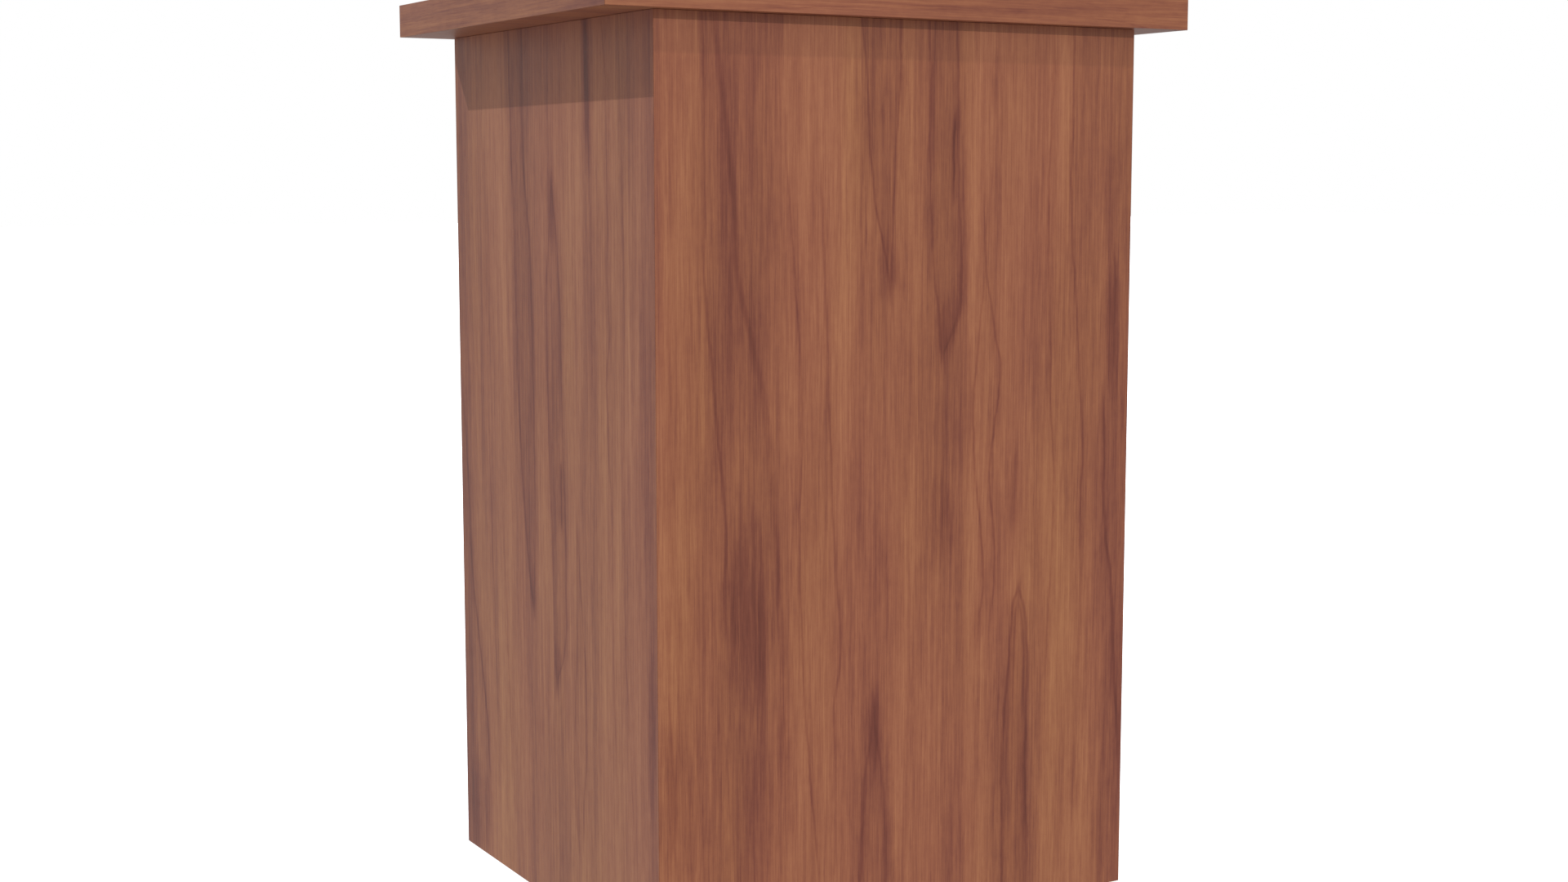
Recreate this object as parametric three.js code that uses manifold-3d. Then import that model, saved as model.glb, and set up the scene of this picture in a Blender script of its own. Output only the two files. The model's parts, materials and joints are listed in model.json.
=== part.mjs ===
// A free-standing wooden pulpit: a tall box closed towards the congregation and on both flanks, open towards
// the speaker, under a thick overhanging flat top. Millimetres, +Z up, -Y towards the congregation and +X to
// their right. The origin is on the floor, under the middle of the top.
import * as THREE from "three";
import { mergeVertices } from "three/addons/utils/BufferGeometryUtils.js";
import Module from "manifold-3d";

const wasm = await Module();
wasm.setup();

// ---------- Driving dimensions ----------
const HEIGHT = 1100;
const TOP = { width: 780, depth: 608, thick: 40, lipping: 3 };
const BODY = { width: 648, depth: 568 };
const BOARD = 18; // every carcass board
const BAND = 2; // edge banding on the boards' rear edges
const FLOOR_GAP = 1; // the boards stand this far off the floor, on the levellers
const GAP = 0.3; // between two pieces that touch
const MITRE_GAP = 0.1; // between the two faces of a mitre

const BASE_TOP = 80; // upper face of the base panel
const BOOK_SHELF_TOP = 860; // upper face of the fixed shelf under the top
const REAR_RAIL = 50; // height of the rail that hangs under the top at the rear
const PLINTH_SETBACK = 30; // from the boards' rear edges to the plinth rail
const CLEAT = 28; // square battens that carry the top
const LOOSE_SHELF = { side: 1, front: 4, rear: 8 }; // clearances to the carcass

const SPLINE = { thick: 4, deep: 6, fromCorner: 15, end: 30 }; // loose tongue in each mitre
const PIN = { hole: 5, deep: 9, pitch: 32, holes: 9, lowest: 332, used: 4, inset: 50 };
const PIN_HEAD = { collar: 8, collarThick: 1.5, plate: 9, plateWide: 8, plateThick: 2 };
const CAM = { hole: 15, deep: 13, high: 12.2, inset: 24, fromMiddle: 180 };
const CAM_SLOT = { long: 8, wide: 1.6, deep: 2.5 };
const BOLT = { thread: 6, threadLong: 11, collar: 7, shank: 4.8, head: 6.2, headLong: 5, way: 8 };
const SCREW = { shank: 4.4, head: 9, headHigh: 3, long: 50, hole: 5, point: 6, sink: 0.4, fromMiddle: 150 };
const LEVELLER = { x: 270, front: -230, rear: 200 };
const FOOT = { pad: 40, high: 15, socket: 8 };
const STEM = { thread: 10, top: 79, hexagon: 16, hexagonHigh: 6, key: 5.8, keyDeep: 6 };
const NUT = { sleeve: 14, flange: 24, flangeThick: 1.5, bore: 10.5, short: 0.5 };

// ---------- Derived places ----------
const TOP_UNDERSIDE = HEIGHT - TOP.thick;
const BODY_TOP = TOP_UNDERSIDE - GAP;
const OUTER_X = BODY.width / 2;
const INNER_X = OUTER_X - BOARD;
const FRONT_Y = -BODY.depth / 2;
const INNER_FRONT_Y = FRONT_Y + BOARD;
const REAR_Y = BODY.depth / 2;
const CORE_REAR_Y = REAR_Y - BAND - GAP; // where a banded board's core ends
const BETWEEN_SIDES = [-INNER_X + GAP, INNER_X - GAP];
const USED_PIN_Z = PIN.lowest + PIN.used * PIN.pitch;
const CLEAT_X = INNER_X - GAP - CLEAT / 2;
const FRONT_CLEAT_Y = INNER_FRONT_Y + GAP + CLEAT / 2;

const SIDES = { left: -1, right: 1 };
const PIN_Y = { front: INNER_FRONT_Y + PIN.inset, rear: REAR_Y - PIN.inset };
const CAM_Y = { front: -CAM.fromMiddle, rear: CAM.fromMiddle };
const CAMMED_BOARDS = { base: BASE_TOP - BOARD, book_shelf: BOOK_SHELF_TOP - BOARD }; // their undersides
const TOP_SCREWS = {
  front_middle: [0, FRONT_CLEAT_Y],
  left_front: [-CLEAT_X, -SCREW.fromMiddle],
  left_rear: [-CLEAT_X, SCREW.fromMiddle],
  right_front: [CLEAT_X, -SCREW.fromMiddle],
  right_rear: [CLEAT_X, SCREW.fromMiddle],
};

const ROUND = 20; // facets round a cam, foot or nut
const SMALL_ROUND = 10; // facets round a pin or screw

// ---------- Materials ----------
function finish(color, roughness, metalness) {
  return new THREE.MeshStandardMaterial({ color, roughness, metalness });
}

const VENEER = finish(0x965f48, 0.42, 0);
const BANDING = finish(0x8e5842, 0.45, 0);
const BATTEN = finish(0xc9a57a, 0.7, 0);
const PLYWOOD = finish(0xb98d5e, 0.75, 0);
const ZINC = finish(0xa9abb0, 0.38, 0.9);
const STEEL = finish(0xc2c4c8, 0.3, 0.95);
const PLASTIC = finish(0x26262a, 0.6, 0);

// ---------- Solids ----------
function solidOf(geometry) {
  const bare = geometry.clone();
  bare.deleteAttribute("normal");
  bare.deleteAttribute("uv");
  const merged = mergeVertices(bare, 1e-4);
  const vertProperties = merged.attributes.position.array;
  return new wasm.Manifold(new wasm.Mesh({ numProp: 3, vertProperties, triVerts: merged.index.array }));
}

function geometryOf(solid) {
  const { vertProperties, triVerts } = solid.getMesh();
  const geometry = new THREE.BufferGeometry();
  geometry.setAttribute("position", new THREE.BufferAttribute(vertProperties, 3));
  geometry.setIndex(new THREE.BufferAttribute(triVerts, 1));
  geometry.computeVertexNormals();
  return geometry;
}

function cut(geometry, cutters) {
  return geometryOf(cutters.reduce((solid, cutter) => solid.subtract(solidOf(cutter)), solidOf(geometry)));
}

function join(geometries) {
  return geometryOf(geometries.map(solidOf).reduce((whole, solid) => whole.add(solid)));
}

// A round bar of that diameter along an axis ("x" or "z"), from one level on it to another.
function bar(diameter, axis, [from, to], at, sides = ROUND) {
  const geometry = new THREE.CylinderGeometry(diameter / 2, diameter / 2, Math.abs(to - from), sides);
  geometry.rotateX(Math.PI / 2);
  if (axis === "x") geometry.rotateY(Math.PI / 2);
  const centre = { x: 0, y: 0, z: 0, ...at, [axis]: (from + to) / 2 };
  return geometry.translate(centre.x, centre.y, centre.z);
}

// A turned piece standing along +Z, from its profile of [radius, height] points.
function turned(profile, sides = ROUND) {
  const points = profile.map(([radius, height]) => new THREE.Vector2(radius, height));
  return new THREE.LatheGeometry(points, sides).rotateX(Math.PI / 2);
}

// An upright prism over a plan outline, from one level to another.
function prism(outline, [from, to]) {
  const shape = new THREE.Shape(outline.map(([x, y]) => new THREE.Vector2(x, y)));
  return new THREE.ExtrudeGeometry(shape, { depth: to - from, bevelEnabled: false }).translate(0, 0, from);
}

function box([x0, x1], [y0, y1], [z0, z1]) {
  const middle = [(x0 + x1) / 2, (y0 + y1) / 2, (z0 + z1) / 2];
  return new THREE.BoxGeometry(x1 - x0, y1 - y0, z1 - z0).translate(...middle);
}

// The two crossed slots of a screwdriver recess, open downwards from the level z = face.
function crossRecess(long, wide, face, deep) {
  const levels = [face - 1, face + deep];
  const along = [-long / 2, long / 2];
  const across = [-wide / 2, wide / 2];
  return [box(along, across, levels), box(across, along, levels)];
}

function place(parent, name, geometry, material, [x, y, z] = [0, 0, 0]) {
  const mesh = new THREE.Mesh(geometry, material);
  mesh.name = name;
  mesh.position.set(x, y, z);
  parent.add(mesh);
  return mesh;
}

// A board between two limits on each axis, less its holes.
function board(parent, name, material, xs, ys, zs, holes = []) {
  const whole = box(xs, ys, zs);
  place(parent, name, holes.length ? cut(whole, holes) : whole, material);
}

// ---------- Front and side panels, mitred together ----------
// Plan points along a mitre, from its outer corner inwards, with the groove for the loose tongue. The corner
// is on the side -1 or 1, and the groove goes into the front panel (into = 1) or the side panel (into = -1).
function mitreFace(side, into) {
  const along = new THREE.Vector2(-side, 1).normalize();
  const inwards = new THREE.Vector2(-side, -1).normalize().multiplyScalar(into);
  const corner = new THREE.Vector2(side * OUTER_X, FRONT_Y);
  const first = MITRE_GAP / 2;
  const last = BOARD * Math.SQRT2 + first;
  const near = SPLINE.fromCorner - SPLINE.thick / 2;
  const far = SPLINE.fromCorner + SPLINE.thick / 2;
  const deep = first + SPLINE.deep;
  const steps = [[first, first], [near, first], [near, deep], [far, deep], [far, first], [last, first]];
  return steps.map(([distance, depth]) => {
    const point = corner.clone().addScaledVector(along, distance).addScaledVector(inwards, depth);
    return [point.x, point.y];
  });
}

function frontPanel(parent) {
  const outline = [...mitreFace(-1, 1).reverse(), ...mitreFace(1, 1)];
  place(parent, "front_panel", prism(outline, [FLOOR_GAP, BODY_TOP]), VENEER);
}

function shelfPinHoles(sign) {
  const reach = [sign * (INNER_X - 1), sign * (INNER_X + PIN.deep)];
  const rows = Object.values(PIN_Y).map((y) =>
    Array.from({ length: PIN.holes }, (_, i) =>
      bar(PIN.hole, "x", reach, { y, z: PIN.lowest + i * PIN.pitch }, SMALL_ROUND),
    ),
  );
  return rows.flat();
}

function boltHoles(sign) {
  const reach = [sign * (INNER_X - 1), sign * (INNER_X + BOLT.threadLong + 1)];
  const levels = Object.values(CAMMED_BOARDS).map((underside) => underside + BOARD / 2);
  return levels.flatMap((z) =>
    Object.values(CAM_Y).map((y) => bar(BOLT.thread + 2 * GAP, "x", reach, { y, z }, SMALL_ROUND)),
  );
}

function sidePanel(parent, side) {
  const sign = SIDES[side];
  const rear = [[sign * INNER_X, CORE_REAR_Y], [sign * OUTER_X, CORE_REAR_Y]];
  const panel = prism([...mitreFace(sign, -1), ...rear], [FLOOR_GAP, BODY_TOP]);
  place(parent, `${side}_side_panel`, cut(panel, [...shelfPinHoles(sign), ...boltHoles(sign)]), VENEER);
  const faces = [sign * INNER_X, sign * OUTER_X].sort((a, b) => a - b);
  board(parent, `${side}_edge_band`, BANDING, faces, [REAR_Y - BAND, REAR_Y], [FLOOR_GAP, BODY_TOP]);
}

function cornerSpline(parent, side) {
  const sign = SIDES[side];
  const thick = SPLINE.thick - 2 * GAP;
  const wide = 2 * SPLINE.deep + MITRE_GAP - 2 * GAP;
  const tongue = new THREE.BoxGeometry(thick, wide, BODY_TOP - FLOOR_GAP - 2 * SPLINE.end);
  const inset = SPLINE.fromCorner * Math.SQRT1_2;
  const centre = [sign * (OUTER_X - inset), FRONT_Y + inset, (BODY_TOP + FLOOR_GAP) / 2];
  place(parent, `${side}_corner_spline`, tongue, PLYWOOD, centre).rotation.z = (-sign * Math.PI) / 4;
}

// ---------- Base, shelves and their fittings ----------
// A pocket from below for each cam, and a way in from the board's end for its bolt.
function camHoles(underside) {
  const each = (sign, y) => {
    const x = sign * (INNER_X - CAM.inset);
    const pocket = bar(CAM.hole, "z", [underside - 1, underside + CAM.deep], { x, y });
    const way = bar(BOLT.way, "x", [x, sign * (INNER_X + 1)], { y, z: underside + BOARD / 2 }, SMALL_ROUND);
    return [pocket, way];
  };
  return Object.values(SIDES).flatMap((sign) => Object.values(CAM_Y).flatMap((y) => each(sign, y)));
}

function levellerHoles() {
  const levels = [BASE_TOP - BOARD - 1, BASE_TOP + 1];
  const size = NUT.sleeve + 2 * GAP;
  const pair = (x) => [LEVELLER.front, LEVELLER.rear].map((y) => bar(size, "z", levels, { x, y }));
  return Object.values(SIDES).flatMap((sign) => pair(sign * LEVELLER.x));
}

function fixedBoard(parent, name, band, top, holes) {
  const levels = [top - BOARD, top];
  const core = [INNER_FRONT_Y + GAP, CORE_REAR_Y];
  board(parent, name, VENEER, BETWEEN_SIDES, core, levels, [...camHoles(top - BOARD), ...holes]);
  board(parent, band, BANDING, BETWEEN_SIDES, [REAR_Y - BAND, REAR_Y], levels);
}

function looseShelf(parent) {
  const underside = USED_PIN_Z + PIN.hole / 2 + GAP;
  const levels = [underside, underside + BOARD];
  const across = [-INNER_X + LOOSE_SHELF.side, INNER_X - LOOSE_SHELF.side];
  const rear = REAR_Y - LOOSE_SHELF.rear;
  const core = [INNER_FRONT_Y + LOOSE_SHELF.front, rear - BAND - GAP];
  board(parent, "loose_shelf", VENEER, across, core, levels);
  board(parent, "loose_shelf_edge_band", BANDING, across, [rear - BAND, rear], levels);
}

// A shelf support: a pin into the side panel, a collar against its face, and a ribbed plate under the shelf.
function shelfPin(parent, side, end) {
  const sign = SIDES[side];
  const face = INNER_X - GAP;
  const half = PIN.hole / 2;
  const across = (inner, outer) => [sign * inner, sign * outer].sort((a, b) => a - b);
  const collar = across(face - PIN_HEAD.collarThick, face);
  const plate = across(face - PIN_HEAD.plate, face - PIN_HEAD.collarThick / 2);
  const wide = [-PIN_HEAD.plateWide / 2, PIN_HEAD.plateWide / 2];
  const rib = [-PIN_HEAD.plateThick / 2, PIN_HEAD.plateThick / 2];
  const solid = join([
    bar(PIN.hole - 2 * GAP, "x", across(face - 1, INNER_X + PIN.deep - 1), {}, SMALL_ROUND),
    bar(PIN_HEAD.collar, "x", collar, { z: half - PIN_HEAD.collar / 2 }),
    box(plate, wide, [half - PIN_HEAD.plateThick, half]),
    box(plate, rib, [-half, half - PIN_HEAD.plateThick / 2]),
  ]);
  place(parent, `shelf_pin_${end}_${side}`, solid, STEEL, [0, PIN_Y[end], USED_PIN_Z]);
}

// A slotted cam in its pocket, with the sideways mouth that takes its bolt's head.
function cam(parent, name, sign, y, underside) {
  const body = bar(CAM.hole - 2 * GAP, "z", [0, CAM.high], {});
  const reach = [-sign * BOLT.headLong, sign * CAM.hole];
  const mouth = bar(BOLT.way - 2 * GAP, "x", reach, { z: BOARD / 2 - GAP }, SMALL_ROUND);
  const slots = crossRecess(CAM_SLOT.long, CAM_SLOT.wide, 0, CAM_SLOT.deep);
  place(parent, name, cut(body, [mouth, ...slots]), ZINC, [sign * (INNER_X - CAM.inset), y, underside + GAP]);
}

// The bolt screws into the side panel, and its head reaches into the cam.
function camBolt(parent, name, sign, y, underside) {
  const thread = BOLT.thread / 2;
  const collar = BOLT.collar / 2;
  const shank = BOLT.shank / 2;
  const head = BOLT.head / 2;
  const seat = BOLT.threadLong + 2 * GAP;
  const tip = BOLT.threadLong + CAM.inset + BOLT.headLong / 2;
  const neck = tip - BOLT.headLong;
  const bolt = turned(
    [
      [0, 0], [shank, 0], [thread, 1], [thread, seat - GAP],
      [collar, seat], [collar, seat + 2], [shank, seat + 2], [shank, neck],
      [head, neck + 1], [head, tip - 1], [shank, tip], [0, tip],
    ],
    SMALL_ROUND,
  );
  bolt.rotateY((-sign * Math.PI) / 2);
  place(parent, name, bolt, STEEL, [sign * (INNER_X + BOLT.threadLong), y, underside + BOARD / 2]);
}

function camFittings(parent) {
  for (const [fixed, underside] of Object.entries(CAMMED_BOARDS)) {
    for (const [side, sign] of Object.entries(SIDES)) {
      for (const [end, y] of Object.entries(CAM_Y)) {
        cam(parent, `${fixed}_cam_${end}_${side}`, sign, y, underside);
        camBolt(parent, `${fixed}_cam_bolt_${end}_${side}`, sign, y, underside);
      }
    }
  }
}

// ---------- Rails, cleats and the top ----------
function rails(parent) {
  const plinth = [REAR_Y - PLINTH_SETBACK - BOARD, REAR_Y - PLINTH_SETBACK];
  board(parent, "plinth_rail", VENEER, BETWEEN_SIDES, plinth, [FLOOR_GAP, BASE_TOP - BOARD - GAP]);
  const hung = [BODY_TOP - REAR_RAIL, BODY_TOP];
  board(parent, "rear_top_rail", VENEER, BETWEEN_SIDES, [REAR_Y - BOARD, REAR_Y], hung);
}

// A countersunk hole up through a cleat.
function cleatHole(x, y) {
  const underside = BODY_TOP - CLEAT;
  const wide = SCREW.head / 2 + 2 * GAP;
  const sink = new THREE.CylinderGeometry(SCREW.hole / 2, wide, SCREW.headHigh + 1, SMALL_ROUND);
  sink.rotateX(Math.PI / 2).translate(x, y, underside + SCREW.headHigh / 2);
  return [bar(SCREW.hole, "z", [underside + 1, BODY_TOP + 1], { x, y }, SMALL_ROUND), sink];
}

function cleats(parent) {
  const levels = [BODY_TOP - CLEAT, BODY_TOP];
  const band = (middle) => [middle - CLEAT / 2, middle + CLEAT / 2];
  const frontHole = cleatHole(0, FRONT_CLEAT_Y);
  board(parent, "front_cleat", BATTEN, BETWEEN_SIDES, band(FRONT_CLEAT_Y), levels, frontHole);
  const along = [FRONT_CLEAT_Y + CLEAT / 2 + GAP, REAR_Y - BOARD - GAP];
  for (const [side, sign] of Object.entries(SIDES)) {
    const x = sign * CLEAT_X;
    const holes = [-SCREW.fromMiddle, SCREW.fromMiddle].flatMap((y) => cleatHole(x, y));
    board(parent, `${side}_cleat`, BATTEN, band(x), along, levels, holes);
  }
}

// One edge lipping, mitred at both ends: drawn along the front edge, then turned to its own edge.
function lipping(parent, edge, turn, halfLong, toEdge) {
  const end = halfLong - MITRE_GAP;
  const inner = TOP.lipping - toEdge;
  const outline = [[-end, -toEdge], [end, -toEdge], [end - TOP.lipping, inner], [TOP.lipping - end, inner]];
  const solid = prism(outline, [TOP_UNDERSIDE, HEIGHT]);
  place(parent, `top_lipping_${edge}`, solid, BANDING).rotation.z = turn;
}

function top(parent) {
  const [halfX, halfY] = [TOP.width / 2, TOP.depth / 2];
  const inset = TOP.lipping + GAP;
  const pilot = [TOP_UNDERSIDE - 1, TOP_UNDERSIDE + SCREW.long - CLEAT + 2];
  const holes = Object.values(TOP_SCREWS).map(([x, y]) =>
    bar(SCREW.shank + 2 * GAP, "z", pilot, { x, y }, SMALL_ROUND),
  );
  const across = [inset - halfX, halfX - inset];
  const along = [inset - halfY, halfY - inset];
  board(parent, "top_board", VENEER, across, along, [TOP_UNDERSIDE, HEIGHT], holes);
  lipping(parent, "front", 0, halfX, halfY);
  lipping(parent, "right", Math.PI / 2, halfY, halfX);
  lipping(parent, "rear", Math.PI, halfX, halfY);
  lipping(parent, "left", -Math.PI / 2, halfY, halfX);
}

// A countersunk wood screw pointing up, its head just inside the cleat's underside.
function topScrew(parent, name, [x, y]) {
  const shank = SCREW.shank / 2;
  const profile = [
    [0, SCREW.sink], [SCREW.head / 2, SCREW.sink], [shank, SCREW.headHigh],
    [shank, SCREW.long - SCREW.point], [0, SCREW.long],
  ];
  const screw = cut(turned(profile, SMALL_ROUND), crossRecess(SCREW.head / 2, 1, SCREW.sink, 2));
  place(parent, `top_screw_${name}`, screw, ZINC, [x, y, BODY_TOP - CLEAT]);
}

// ---------- Levellers ----------
// The foot that stands on the floor, with the socket that its stem turns in.
function levellerPad(parent, name) {
  const rim = FOOT.pad / 2;
  const socket = STEM.thread / 2 + 0.5;
  const floor = FOOT.high - FOOT.socket;
  const outside = [[0, 0], [rim - 1, 0], [rim, 1.5], [rim, 6], [rim - 6, 9], [socket + 4, FOOT.high]];
  const inside = [[socket, FOOT.high], [socket, floor], [0, floor]];
  place(parent, name, turned([...outside, ...inside]), PLASTIC);
}

// The threaded stem: a hexagon for a spanner just over the pad, and a hexagon socket in its upper end.
function levellerStem(parent, name) {
  const radius = STEM.thread / 2;
  const foot = FOOT.high - FOOT.socket + GAP;
  const head = STEM.top;
  const rod = turned([[0, foot], [radius, foot], [radius, head - 1], [radius - 1, head], [0, head]]);
  const hexagon = bar(STEM.hexagon, "z", [FOOT.high + 1, FOOT.high + 1 + STEM.hexagonHigh], {}, 6);
  const key = bar(STEM.key, "z", [head - STEM.keyDeep, head + 1], {}, 6);
  place(parent, name, cut(join([rod, hexagon]), [key]), STEEL);
}

// The flanged insert nut let into the base panel from below.
function levellerNut(parent, name) {
  const bore = NUT.bore / 2;
  const sleeve = NUT.sleeve / 2;
  const flange = NUT.flange / 2;
  const seat = BASE_TOP - BOARD - GAP;
  const foot = seat - NUT.flangeThick;
  const head = BASE_TOP - NUT.short;
  const outside = [[bore, foot], [flange, foot], [flange, seat], [sleeve, seat], [sleeve, head]];
  place(parent, name, turned([...outside, [bore, head], [bore, foot]]), ZINC);
}

function levellers(parent) {
  for (const [side, sign] of Object.entries(SIDES)) {
    for (const [end, y] of [["front", LEVELLER.front], ["rear", LEVELLER.rear]]) {
      const leveller = new THREE.Group();
      leveller.position.set(sign * LEVELLER.x, y, 0);
      parent.add(leveller);
      levellerPad(leveller, `leveller_pad_${end}_${side}`);
      levellerStem(leveller, `leveller_stem_${end}_${side}`);
      levellerNut(leveller, `leveller_nut_${end}_${side}`);
    }
  }
}

// ---------- The whole pulpit ----------
const pulpit = new THREE.Group();
top(pulpit);
frontPanel(pulpit);
fixedBoard(pulpit, "base_panel", "base_edge_band", BASE_TOP, levellerHoles());
fixedBoard(pulpit, "book_shelf", "book_shelf_edge_band", BOOK_SHELF_TOP, []);
looseShelf(pulpit);
rails(pulpit);
cleats(pulpit);
for (const side of Object.keys(SIDES)) {
  sidePanel(pulpit, side);
  cornerSpline(pulpit, side);
  for (const end of Object.keys(PIN_Y)) shelfPin(pulpit, side, end);
}
for (const [name, at] of Object.entries(TOP_SCREWS)) topScrew(pulpit, name, at);
camFittings(pulpit);
levellers(pulpit);

export default pulpit;
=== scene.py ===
"""The looks of a wooden pulpit: veneered boards, edge bands and fittings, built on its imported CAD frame.

Places are in metres, with +Z up. The congregation sees the front (-Y) and the sides. The speaker stands at
the open back (+Y).
"""
import json
import math
from collections import namedtuple
from types import SimpleNamespace

import bmesh
import bpy
from mathutils import Matrix, Vector


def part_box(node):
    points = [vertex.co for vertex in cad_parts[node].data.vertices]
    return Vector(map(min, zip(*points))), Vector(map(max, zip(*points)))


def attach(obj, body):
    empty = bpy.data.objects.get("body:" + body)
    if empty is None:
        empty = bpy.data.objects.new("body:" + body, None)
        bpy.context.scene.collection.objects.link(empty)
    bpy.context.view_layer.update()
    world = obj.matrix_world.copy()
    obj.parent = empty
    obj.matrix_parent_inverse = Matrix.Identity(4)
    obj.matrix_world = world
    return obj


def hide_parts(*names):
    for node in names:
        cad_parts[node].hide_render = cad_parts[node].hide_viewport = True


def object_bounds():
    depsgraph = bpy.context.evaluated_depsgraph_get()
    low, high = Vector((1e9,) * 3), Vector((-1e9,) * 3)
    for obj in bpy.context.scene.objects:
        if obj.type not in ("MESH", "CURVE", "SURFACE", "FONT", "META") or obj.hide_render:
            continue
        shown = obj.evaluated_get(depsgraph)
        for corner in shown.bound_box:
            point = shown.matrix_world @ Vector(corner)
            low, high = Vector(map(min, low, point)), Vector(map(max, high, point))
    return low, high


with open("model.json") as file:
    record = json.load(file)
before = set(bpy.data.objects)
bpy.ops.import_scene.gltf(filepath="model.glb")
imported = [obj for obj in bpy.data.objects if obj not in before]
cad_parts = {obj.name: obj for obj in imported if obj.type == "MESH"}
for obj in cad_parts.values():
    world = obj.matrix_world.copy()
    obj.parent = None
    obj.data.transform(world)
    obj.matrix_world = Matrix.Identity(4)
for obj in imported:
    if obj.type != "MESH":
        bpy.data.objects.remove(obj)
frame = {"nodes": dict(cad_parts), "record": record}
CAD_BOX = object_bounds()
NODES = frame["nodes"]
BODIES = frame["record"]["behaviour"]["bodies"]
BODY_OF = {node: body for body, nodes in BODIES.items() for node in nodes}

MM = 0.001
SIDES = {"left": -1, "right": 1}
ENDS = ("front", "rear")

# ---------- The fittings' sizes, in millimetres ----------
# The size of a round piece is its diameter, and that of a hexagon is across its corners.
GAP = 0.3  # between two pieces that touch
OVERLAP = 1  # how far a solid reaches past the face where another joins or cuts it
PIN = SimpleNamespace(
    size=4.4, back=1, point=0.8, point_in=0.6, collar=8, collar_thick=1.5, plate=9, wide=8, thick=2,
    edge=0.5, hole=5)
CAM = SimpleNamespace(
    size=14.4, high=12.2, mouth=7.4, mouth_level=8.7, slot=8, slot_wide=1.6, slot_deep=2.5)
BOLT = SimpleNamespace(
    thread=6, thread_long=11, collar=7, collar_thick=2, shank=4.8, head=6.2, head_long=5, chamfer=1,
    reach=37.5)
SCREW = SimpleNamespace(
    shank=4.4, head=9, head_high=3, long=50, point=6, sink=0.4, slot_wide=1, slot_deep=2)
PAD = SimpleNamespace(
    size=40, sole=38, rim_low=1.5, rim_high=6, shoulder=28, shoulder_high=9, neck=19, high=15, socket=11,
    socket_deep=8)
STEM = SimpleNamespace(
    size=10, pitch=1.5, foot=7.3, top=79, hexagon=16, hexagon_from=16, hexagon_high=6, neck=1, run_in=0.2,
    key=5.8, key_deep=6)
NUT = SimpleNamespace(bore=10.5, sleeve=14, flange=24, flange_thick=1.5)


# ---------- Camera, light and floor ----------
AZIMUTH = math.radians(-30)  # round from the front, towards the left side
ELEVATION = math.radians(6.83)
DISTANCE = 2.77
LENS_MM = 50
SENSOR_MM = 36
WHITE = (1, 1, 1, 1)
SKY = 0.5  # how brightly the surroundings light the pulpit
FLOOR_HALF = 40
FLOOR_GLOW = 0.9
# Where each sun shines from, its strength, its spread in degrees and its colour.
SUNS = {
    "sun_behind_left": ((-1, 0.953, 1.408), 1.85, 0.5, (0.80, 1.01, 1.24)),
    "sun_front": ((0, -1, 0.523), 0.86, 1.0, WHITE[:3]),
    "sun_high_front": ((0, -1, 2.28), 0.66, 2.0, WHITE[:3]),
}


def new_object(name, data):
    made = bpy.data.objects.new(name, data)
    bpy.context.scene.collection.objects.link(made)
    return made


def towards(azimuth, elevation):
    """The direction from the pulpit to a place at that azimuth and elevation."""
    flat = math.cos(elevation)
    return Vector((math.sin(azimuth) * flat, -math.cos(azimuth) * flat, math.sin(elevation)))


def make_camera():
    data = bpy.data.cameras.new("camera")
    data.lens = LENS_MM
    data.sensor_width = SENSOR_MM
    camera = new_object("camera", data)
    low, high = CAD_BOX
    back = towards(AZIMUTH, ELEVATION)
    camera.location = (low + high) / 2 + back * DISTANCE
    camera.rotation_euler = back.to_track_quat("Z", "Y").to_euler()
    bpy.context.scene.camera = camera


def make_sun(name, direction, strength, spread_degrees, color):
    data = bpy.data.lights.new(name, "SUN")
    data.color = color
    data.energy = strength
    data.angle = math.radians(spread_degrees)
    turn = Vector(direction).to_track_quat("Z", "Y")
    new_object(name, data).rotation_euler = turn.to_euler()


def make_world():
    """White to look at, and a softer white as a source of light."""
    world = bpy.data.worlds.new("studio")
    bpy.context.scene.world = world
    graph = emptied_graph(world)
    seen = graph.add("ShaderNodeBackground", {"Color": WHITE, "Strength": 1.0})
    shed = graph.add("ShaderNodeBackground", {"Color": WHITE, "Strength": SKY})
    path = graph.add("ShaderNodeLightPath").outputs["Is Camera Ray"]
    mix = graph.add("ShaderNodeMixShader", {0: path, 1: shed.outputs[0], 2: seen.outputs[0]})
    graph.add("ShaderNodeOutputWorld", {"Surface": mix.outputs[0]})


def make_floor():
    bm = bmesh.new()
    bmesh.ops.create_grid(bm, x_segments=1, y_segments=1, size=FLOOR_HALF)
    floor = object_from(bm, "floor", floor_material())
    floor.visible_diffuse = False
    floor.visible_glossy = False
    floor.visible_shadow = False


def make_stage():
    settings = bpy.context.scene.view_settings
    settings.view_transform = "Standard"
    settings.look = "None"
    make_camera()
    make_world()
    for name, sun in SUNS.items():
        make_sun(name, *sun)
    make_floor()


# ---------- Shader graphs ----------
# The mix node has sockets for every kind of value. These are its colour ones: factor, first and second.
COLOR_MIX_INPUTS = (0, 6, 7)
COLOR_MIX_OUTPUT = 2


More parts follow.
